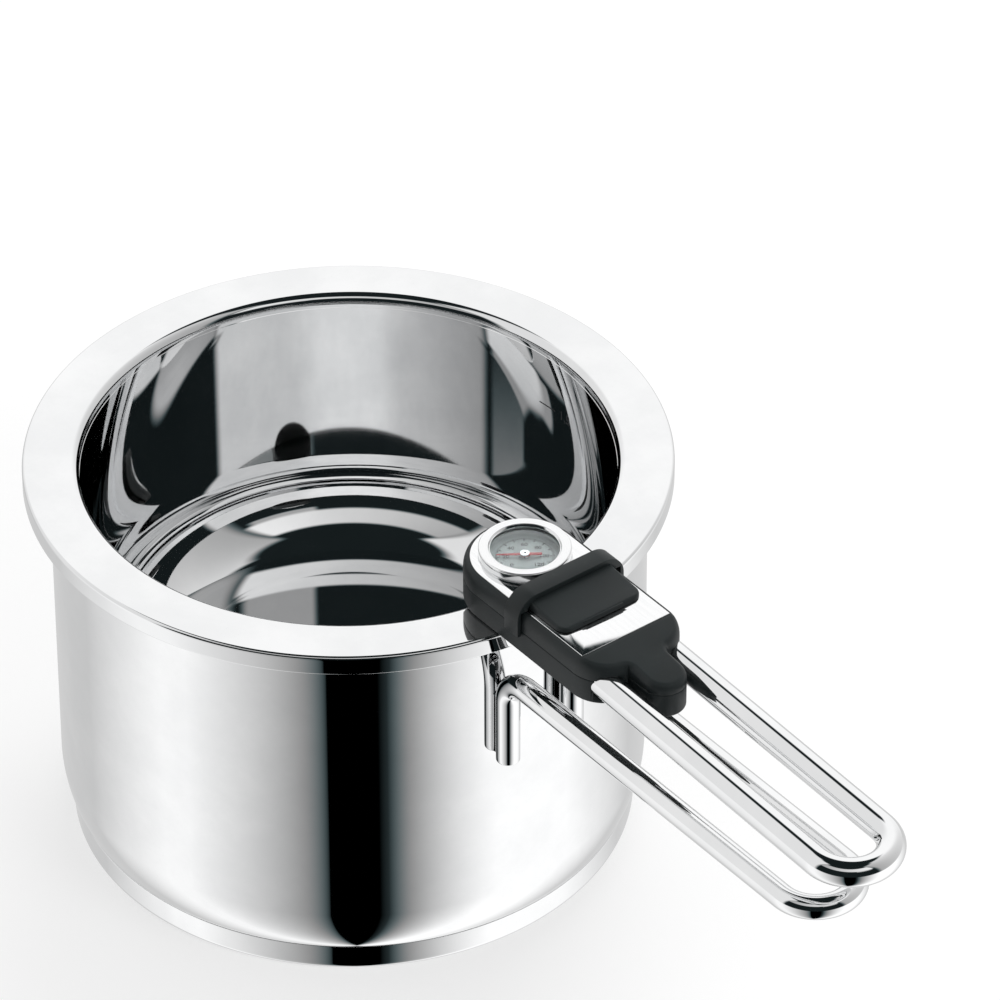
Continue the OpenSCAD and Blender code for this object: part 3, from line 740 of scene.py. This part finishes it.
def thumb_rest():
    """The scooped rest behind the hood: sections across the head, flat below and rounded above, whose
    height falls as (1 - s) squared and whose width ends in round corners."""
    start_x = 115
    scoop_x = 117
    corner_x = 132.4
    corner_r = 4.2
    lip_l = 1.2
    low_h = 1.6
    scoop_h = 1.9
    flat_half = 12.4
    edge_r = 1.0
    round_end = corner_x + corner_r * np.sin(np.radians(np.linspace(4, 90, 20)))
    x = np.r_[np.linspace(start_x, corner_x, 24), round_end]
    end = x[-1]
    base = plate_top + 0.25
    fall = np.clip((x - scoop_x) / (end - scoop_x), 0, 1)
    top = base + low_h + scoop_h * (1 - fall) ** 2
    lip = np.clip((x - end + lip_l) / lip_l, 0, 1)
    top = base + (top - base) * np.sqrt(np.clip(1 - lip ** 2, 0.0004, 1))
    back = np.clip((x - end + corner_r) / corner_r, 0, 1)
    half = flat_half + corner_r * np.sqrt(np.clip(1 - back ** 2, 0, 1))
    rows = []
    for at, w, t in zip(x, half, top):
        r = min(edge_r, 0.9 * (t - base))
        loop = np.concatenate([
            [[-w, base]], arc(-w + r, t - r, r, 180, 90, 6), arc(w - r, t - r, r, 90, 0, 6),
            [[w, base]], [[-w, base]]])
        rows.append(np.column_stack([np.full(len(loop), at), loop]))
    rows = np.array(rows)
    middle = rows[:, :1] * [1, 0, 0] + np.stack([0 * x, 0 * x, (top + base) / 2], 1)[:, None]
    caps = [np.stack([rows[e], np.broadcast_to(middle[e], rows[e].shape)]) for e in (0, -1)]
    return mesh_of("thumb_rest", [rows] + caps, 50)


def make_slide(black):
    """The thumb slide keeps its solid's shape, with every edge moulded round, and gets its scooped
    rest."""
    mesh = joined("thumb_hood", [softened(merged_copy("thumb_slide"), 0.9), thumb_rest()])
    finish_shading(mesh, 40)
    piece("thumb_hood", mesh, "slide", "black_plastic", black, "thumb_slide")


def make_plate(steel):
    """The plate let into the head's top, its edge rounded a little."""
    plate = softened(merged_copy("top_plate"), 0.18)
    piece("deck_plate", plate, "handle", "bright_steel", steel, "top_plate")


def make_bezel(steel):
    """Turned ring: a dished, rounded top, a step at its foot and a bevelled mouth round the window."""
    seat = case_r + 0.05
    ledge = low("dial_glass")[2] + 1.0
    top = bezel_high
    ring = line_of(
        [seat, bezel_low], [bezel_r - 0.75, bezel_low],
        arc(bezel_r - 0.75, bezel_low + 0.25, 0.25, -90, 0, 5),
        [bezel_r - 0.5, bezel_low + 0.65], arc(bezel_r - 0.15, bezel_low + 0.95, 0.15, -90, 0, 4),
        arc(bezel_r - 0.55, top - 0.55, 0.55, 0, 90, 10), [window_r + 0.75, top - 0.02],
        arc(window_r + 0.75, top - 0.27, 0.25, 90, 140, 5), [window_r, top - 1.1], [window_r, ledge],
        [seat, ledge], [seat, bezel_low])
    piece("dial_bezel", mesh_of("dial_bezel", [turned(ring, dial_x, 192)]), "handle", "bright_steel", steel,
          "bezel_ring")


def bars(name, rows, z0, z1):
    """Many short flat bars in one mesh: each row is (start x, start y, end x, end y, half width)."""
    rows = np.asarray(rows, float)
    a, b, half = rows[:, :2], rows[:, 2:4], rows[:, 4:]
    ahead = (b - a) / np.linalg.norm(b - a, axis=1)[:, None]
    side = np.stack([-ahead[:, 1], ahead[:, 0]], 1) * half
    corners = np.stack([a - side, b - side, b + side, a + side], 1)
    low_ring = np.concatenate([corners, np.full((*corners.shape[:2], 1), z0)], -1)
    high_ring = np.concatenate([corners, np.full((*corners.shape[:2], 1), z1)], -1)
    verts = np.concatenate([low_ring, high_ring], 1).reshape(-1, 3)
    shape = np.array([[3, 2, 1, 0], [4, 5, 6, 7], [0, 1, 5, 4], [1, 2, 6, 5], [2, 3, 7, 6], [3, 0, 4, 7]])
    faces = (np.arange(len(rows))[:, None, None] * 8 + shape).reshape(-1, 4)
    mesh = bpy.data.meshes.new(name)
    mesh.from_pydata((verts * MM).tolist(), [], faces.tolist())
    return mesh


def lettering(text, height, thickness, weight=0.0):
    """A word as a flat mesh lying in the XY plane, centred on the origin, in millimetres."""
    curve = bpy.data.curves.new("word", "FONT")
    curve.body = text
    curve.align_x = "CENTER"
    curve.align_y = "CENTER"
    curve.size = height
    curve.extrude = thickness / 2
    curve.offset = weight
    curve.resolution_u = 3
    holder = bpy.data.objects.new("word", curve)
    bpy.context.scene.collection.objects.link(holder)
    bpy.context.view_layer.update()
    mesh = bpy.data.meshes.new_from_object(holder.evaluated_get(bpy.context.evaluated_depsgraph_get()))
    bpy.data.objects.remove(holder)
    points = np.empty(len(mesh.vertices) * 3)
    mesh.vertices.foreach_get("co", points)
    return mesh, points.reshape(-1, 3)


def joined(name, meshes):
    """Several meshes as one, with the doubles inside it welded."""
    work = bmesh.new()
    for mesh in meshes:
        work.from_mesh(mesh)
    bmesh.ops.remove_doubles(work, verts=work.verts, dist=1e-7)
    made = bpy.data.meshes.new(name)
    work.to_mesh(made)
    work.free()
    return made


def scale_bearing(value):
    """Bearing of a value on the dial: it falls steadily from the scale's start."""
    return np.radians(scale_start - scale_sweep * value / scale_last + dial_turn)


def make_dial(paint, ink):
    """The dial's plate with a raised rim, then its printed scale: ticks each 2 degrees of heat, longer
    ones each 10, and numbers each 20."""
    hub_r = 0.8
    rim_h = 0.25
    rim_w = 0.5
    hollow_r = 1.1
    face_r = high("dial_face")[0] - dial_x
    face_low = low("dial_face")[2]
    face = line_of(
        [hub_r, face_low], [face_r, face_low], [face_r, dial_top + rim_h],
        [face_r - rim_w, dial_top + rim_h],
        arc(face_r - rim_w - hollow_r, dial_top + hollow_r, hollow_r, 0, -90, 8),
        [hub_r, dial_top], [hub_r, face_low])
    piece("dial_plate", mesh_of("dial_plate", [turned(face, dial_x, 160)]), "handle", "dial_plate", paint,
          "dial_face")
    print_t = 0.03
    tick_out = 9.7
    long_in, long_half = 8.1, 0.24
    short_in, short_half = 8.9, 0.13
    values = np.arange(scale_first, scale_last + 1, 2)
    bearing = scale_bearing(values)
    is_long = values % 10 == 0
    inner = np.where(is_long, long_in, short_in)
    half = np.where(is_long, long_half, short_half)
    heading = np.stack([np.cos(bearing), np.sin(bearing)], 1)
    centre = np.array([dial_x, 0])
    rows = np.concatenate([centre + inner[:, None] * heading, centre + tick_out * heading, half[:, None]], 1)
    marks = [bars("ticks", rows, dial_top, dial_top + print_t)]
    number_r = 6.2
    number_h = 2.3
    number_weight = 0.07
    lean = math.radians(dial_turn)
    for value in np.arange(scale_first, scale_last + 1, 20):
        mesh, points = lettering(str(int(value)), number_h, print_t, number_weight)
        spot = scale_bearing(value)
        x = points[:, 0] * math.cos(lean) - points[:, 1] * math.sin(lean)
        y = points[:, 0] * math.sin(lean) + points[:, 1] * math.cos(lean)
        placed = np.stack([
            x + dial_x + number_r * math.cos(spot), y + number_r * math.sin(spot),
            points[:, 2] + dial_top + print_t / 2], 1) * MM
        mesh.vertices.foreach_set("co", placed.ravel())
        marks.append(mesh)
    piece("dial_print", joined("dial_print", marks), "handle", "black_plastic", ink)


def make_fill_mark(ink):
    """The printed fill mark on the bowl's wall: a tick and the number of litres, laid on the wall by
    turning their flat x into a bearing."""
    wall = pan_r - pan_sheet - jacket_gap - bowl_sheet
    height = deck - 24.8
    word_h = 5.0
    word_t = 0.04
    word_middle = 88.2
    tick_start = 91.6
    tick_end = 96.6
    tick_half = 0.22
    near, far = 0.01, 0.05
    word, points = lettering("1,5", word_h, word_t)
    bearing = np.radians(word_middle) - points[:, 0] / wall
    reach = wall - (near + far) / 2 - points[:, 2]
    placed = np.stack([reach * np.cos(bearing), reach * np.sin(bearing), height + points[:, 1]], 1) * MM
    word.vertices.foreach_set("co", placed.ravel())
    across = np.radians(np.linspace(tick_start, tick_end, 9))
    box = np.array([
        [near, -tick_half], [far, -tick_half], [far, tick_half], [near, tick_half], [near, -tick_half]])
    r = wall - box[:, :1]
    tick = np.stack([r * np.cos(across), r * np.sin(across), height + box[:, 1:] + 0 * across], -1)
    caps = [np.stack([tick[[0, 1], end], tick[[3, 2], end]]) for end in (0, -1)]
    mark = joined("fill_mark", [word, mesh_of("tick", [tick] + caps)])
    piece("fill_mark", mark, "bowl", "seal_rubber", ink)


def make_glass(glass):
    """The window: a thin lens with a slight crown and a ground edge."""
    r = high("dial_glass")[0] - dial_x
    z0, z1 = low("dial_glass")[2], high("dial_glass")[2]
    crown = 0.22
    bevel = 0.15
    x = np.linspace(0, r - 2 * bevel, 16)
    dome = np.stack([x, z1 - 0.02 - crown * (x / r) ** 2], 1)
    rim = [[0, z0], [r - bevel, z0], [r, z0 + bevel], [r, dome[-1, 1] - bevel]]
    lens = np.concatenate([rim, dome[::-1]])
    piece("dial_window", mesh_of("dial_window", [turned(lens, dial_x, 128)]), "handle", "window_glass", glass,
          "dial_glass")


def make_rods(steel):
    """Both handles: bars bent in one piece. The pan's has two legs on the wall, two arms and a round
    end; the bowl's has two arms that fall a little towards their round end."""
    loop = "pot_handle_loop"
    arm_y = 13.2
    rod_r = high(loop)[1] - arm_y
    arm_z = high(loop)[2] - rod_r
    leg_x = low(loop)[0] + rod_r
    bend = 9.5
    round_x = high(loop)[0] - rod_r - arm_y
    leg_low = low(loop)[2]

    def half(y):
        leg = np.stack([np.full(12, leg_x), np.linspace(leg_low, arm_z - bend, 12)], 1)
        turn = arc(leg_x + bend, arm_z - bend, bend, 180, 90, 18)
        arm = np.stack([np.linspace(leg_x + bend, round_x, 24), np.full(24, arm_z)], 1)
        flat = np.concatenate([leg[:-1], turn, arm[1:-1]])
        return np.stack([flat[:, 0], np.full(len(flat), y), flat[:, 1]], 1)

    end = arc(round_x, 0, arm_y, -90, 90, 40)
    end = np.stack([end[:, 0], end[:, 1], np.full(len(end), arm_z)], 1)
    path = np.concatenate([half(-arm_y), end, half(arm_y)[::-1]])
    piece("pan_handle", mesh_of("pan_handle", tube(path, rod_r)), "pot", "bright_steel", steel, loop)

    loop = "grip_loop"
    grip_y = 13.3
    grip_r = high(loop)[1] - grip_y
    grip_l = 126.2
    axis_h = 6.6
    fall = math.radians(2)
    start_x = head_tail - tongue_l
    axis_z = deck + axis_h
    round_x = grip_l - grip_y
    inner = low(loop)[0] - start_x
    run = np.linspace(inner / math.cos(fall), round_x, 26)[:-1]
    end = arc(round_x, 0, grip_y, -90, 90, 44)
    flat = np.concatenate([
        np.stack([run, np.full(25, -grip_y)], 1), end, np.stack([run[::-1], np.full(25, grip_y)], 1)])
    path = np.stack([
        start_x + flat[:, 0] * math.cos(fall), flat[:, 1], axis_z - flat[:, 0] * math.sin(fall)], 1)
    mesh = mesh_of("grip", tube(path, grip_r, 44))
    piece("grip", mesh, "handle", "bright_steel", steel, loop)


def make_spring(steel):
    """The return spring, welded and smooth-shaded, on a mesh of its own. On the real handle it
    shortens towards its fixed end as the slide is pulled.
    """
    mesh = merged_copy("return_spring")
    finish_shading(mesh, 40)
    coil = piece("spring_coil", mesh, "handle", "bright_steel", steel, "return_spring")
    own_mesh(coil)


def studio():
    """The world: white behind the object, a plain soft light on it, and for the steel a white studio
    whose dark parts are slightly green. Below the horizon a narrow black gap stands in front, and walls
    brighten to both sides of it and dim again behind. Above it the walls stand behind and at the sides,
    one grey soft box hangs in front with a dim card under its right end, and all the rest is dark."""
    world = bpy.data.worlds.new("studio")
    bpy.context.scene.world = world
    world.use_nodes = True
    tree = world.node_tree
    tree.nodes.clear()
    place = tree.nodes.new("ShaderNodeTexCoord")
    k = Knob(tree, place.outputs["Generated"])
    split = k.node("ShaderNodeSeparateXYZ", {"Vector": k})
    x, y, z = (k.out(split, i) for i in range(3))
    a = math.radians(CAMERA_AZIMUTH)
    toward = x * math.cos(a) + y * math.sin(a)
    side = y * math.cos(a) - x * math.sin(a)
    bearing = side.math("ARCTAN2", toward) * (180 / math.pi)
    rise = z.math("ARCSINE") * (180 / math.pi)
    # Below the horizon: levels at bearings measured from the camera's side, to the right positive
    left = bearing.ramp(-68, -10, 1.0, 0.0).math("POWER", 0.66) * 1.1
    left = left * bearing.ramp(-125, -80, 0.6, 1.0)
    right = (1 - bearing.ramp(13, 58, 1.0, 0.0).math("POWER", 1.35)) * 1.15
    right = right * bearing.ramp(92, 138, 1.0, 0.574)
    low_level = left + right + bearing.ramp(9.5, 13, 0.0, 0.03)
    # Above the horizon
    walls = 1 - bearing.step(-68, -60) + bearing.step(52, 62) * bearing.ramp(60, 150, 0.5, 1.0)
    turn = bearing.math("ABSOLUTE")
    top = turn.ramp(120, 160, 66, 49)
    walls = walls * (0.86 + 0.22 * turn.step(130, 165)) * (1 - rise.step(top, top + 5))
    box = bearing.step(-64, -60) * (1 - bearing.step(50, 56)) * rise.step(40, 44) * (1 - rise.step(60, 64))
    card = bearing.step(14, 18) * (1 - bearing.step(46, 52)) * rise.step(36, 38) * (1 - rise.step(40, 44))
    high_level = walls + box * bearing.ramp(-60, 50, 0.45, 0.95) + 0.4 * card + 0.015
    above = z.step(-0.04, 0.06)
    seen = low_level * (1 - above) + high_level * above
    # What a ray finds: the camera white, a mirror the studio, anything duller an even light
    paths = tree.nodes.new("ShaderNodeLightPath")
    glossy = Knob(tree, paths.outputs["Is Glossy Ray"])
    camera_ray = Knob(tree, paths.outputs["Is Camera Ray"])
    soft = 0.72
    level = camera_ray + (1 - camera_ray) * (glossy * seen + (1 - glossy) * soft)
    light = tree.nodes.new("ShaderNodeBackground")
    cool = glossy * (1 - seen.step(0.0, 0.35))
    tree.links.new(tint(cool, (1, 1, 1), (0.62, 0.90, 0.96)).socket, light.inputs["Color"])
    tree.links.new(level.socket, light.inputs["Strength"])
    out = tree.nodes.new("ShaderNodeOutputWorld")
    tree.links.new(light.outputs[0], out.inputs["Surface"])


def lamp(name, place, aim, size, power):
    """A round soft lamp that faces a point. Mirror rays pass it."""
    light = bpy.data.lights.new(name, "AREA")
    light.shape = "DISK"
    light.size = size
    light.energy = power
    holder = bpy.data.objects.new(name, light)
    back = np.array(place, float) - np.array(aim, float)
    back /= np.linalg.norm(back)
    side = np.cross([0, 0, 1], back)
    side /= np.linalg.norm(side)
    up = np.cross(back, side)
    turn = Matrix(np.array([side, up, back]).T.tolist()).to_4x4()
    holder.matrix_world = Matrix.Translation(place) @ turn
    holder.visible_glossy = False
    bpy.context.scene.collection.objects.link(holder)


def floor():
    """The plain white floor: part of its white is its own, the rest takes the object's shadow. Mirror
    rays pass it."""
    size = 6.0
    grid = np.linspace(-size, size, 2)
    verts = [(gx, gy, -0.0002) for gy in grid for gx in grid]
    mesh = bpy.data.meshes.new("floor")
    mesh.from_pydata(verts, [], [(0, 1, 3, 2)])
    made = bpy.data.objects.new("floor", mesh)
    bpy.context.scene.collection.objects.link(made)
    material = bpy.data.materials.new("floor")
    material.use_nodes = True
    shader = material.node_tree.nodes["Principled BSDF"]
    shader.inputs["Base Color"].default_value = (0.92, 0.92, 0.92, 1)
    shader.inputs["Roughness"].default_value = 0.9
    tree = material.node_tree
    glow = tree.nodes.new("ShaderNodeEmission")
    glow.inputs["Color"].default_value = (1, 1, 1, 1)
    glow.inputs["Strength"].default_value = 1
    mixed = tree.nodes.new("ShaderNodeMixShader")
    paths = tree.nodes.new("ShaderNodeLightPath")
    whiten = Knob(tree, paths.outputs["Is Camera Ray"]) * 0.6
    tree.links.new(whiten.socket, mixed.inputs[0])
    tree.links.new(shader.outputs[0], mixed.inputs[1])
    tree.links.new(glow.outputs[0], mixed.inputs[2])
    tree.links.new(mixed.outputs[0], tree.nodes["Material Output"].inputs["Surface"])
    mesh.materials.append(material)
    made.visible_glossy = False


camera()
steel = mirror_steel("mirror_steel")
# The pan's inside is satin and painted darker, as shade.
pan_steel = mirror_steel("pan_steel", satin_and_shade_where=pan_inside)
# The bowl's underside is satin and painted darker, as shade.
bowl_steel = mirror_steel("bowl_steel", satin_and_shade_where=bowl_underside, shaded_satin_colour=0.34)
rod_steel = mirror_steel("rod_steel", (0.83, 0.835, 0.84), (0.89, 0.892, 0.895), 0.025)
black = matt_plastic("black_plastic")
ink = dull("printing_ink", (0.03, 0.03, 0.032), 0.5)
make_pan(pan_steel)
make_bowl(bowl_steel)
make_head(black)
make_slide(black)
make_plate(brushed_steel("brushed_steel"))
make_bezel(spun_steel("spun_steel"))
make_dial(dull("dial_paint", (0.42, 0.46, 0.46), 0.45), ink)
make_fill_mark(ink)
make_glass(clear_glass("window_glass"))
make_rods(rod_steel)
dress(steel, "handle_weld_right", "handle_weld_left", "thermometer_case", "clamp_jaw")
dress(rod_steel, "probe_stem")
make_spring(rod_steel)
dress(plain_metal("plain_aluminium", (0.7, 0.71, 0.72), 0.35), "pot_core", "bowl_core", "probe_gland",
      "slide_carriage", "pointer_hub")
dress(plain_metal("screw_steel", (0.6, 0.61, 0.63), 0.3), "shell_screws", "carriage_screws", "grip_pins",
      "pointer_spindle")
dress(plain_metal("bimetal", (0.72, 0.55, 0.30), 0.35), "bimetal_coil")
dress(dull("pointer_paint", (0.5, 0.01, 0.02), 0.35), "pointer")
dress(dull("seal_rubber", (0.03, 0.03, 0.032), 0.6), "dial_gasket", "jaw_pad")

studio()
floor()
lamp("key", (-0.6, 0.9, 1.6), (0, 0, 0.1), 1.2, 16)
lamp("fill", (1.2, 0.2, 1.0), (0, 0, 0.1), 0.8, 6)

bpy.context.scene.view_settings.view_transform = "Standard"
